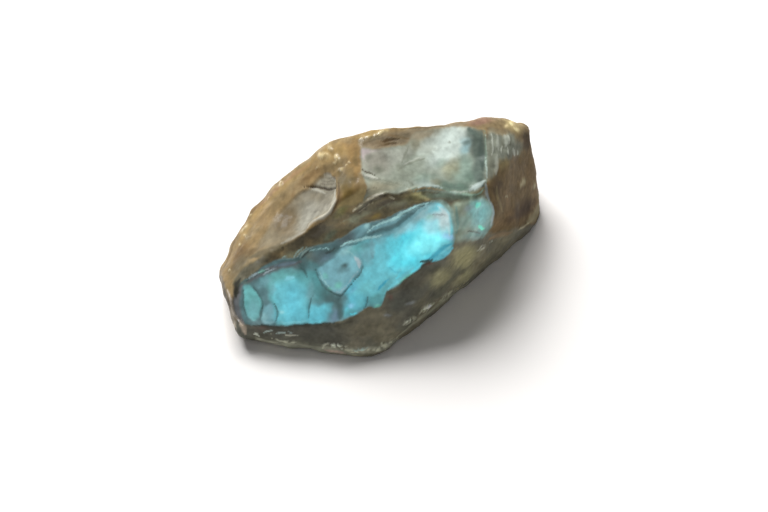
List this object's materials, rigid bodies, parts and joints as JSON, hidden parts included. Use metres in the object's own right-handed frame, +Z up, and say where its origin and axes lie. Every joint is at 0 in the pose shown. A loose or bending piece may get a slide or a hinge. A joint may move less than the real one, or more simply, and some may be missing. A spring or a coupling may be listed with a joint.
{
  "type": "rough labradorite chunk",
  "caption": "Rough chunk of labradorite: a worn ochre and olive stone with a broken ledge that shows a bright blue flash, and a flat underside it rests on.",
  "frame": {"origin": "centre of the bounding box's bottom face, on the flat underside", "axes": "+X along the stone's length from the low thin end to the high thick end, +Z up, -Y towards the side with the broken ledge"},
  "size_m": [0.0644, 0.0348, 0.0265],
  "materials": {
    "feldspar": "worn, waxy, with glossy cleavage faces that flash blue"
  },
  "bodies": {
    "root": {"labradorite_chunk": "feldspar"}
  },
  "joints": []
}
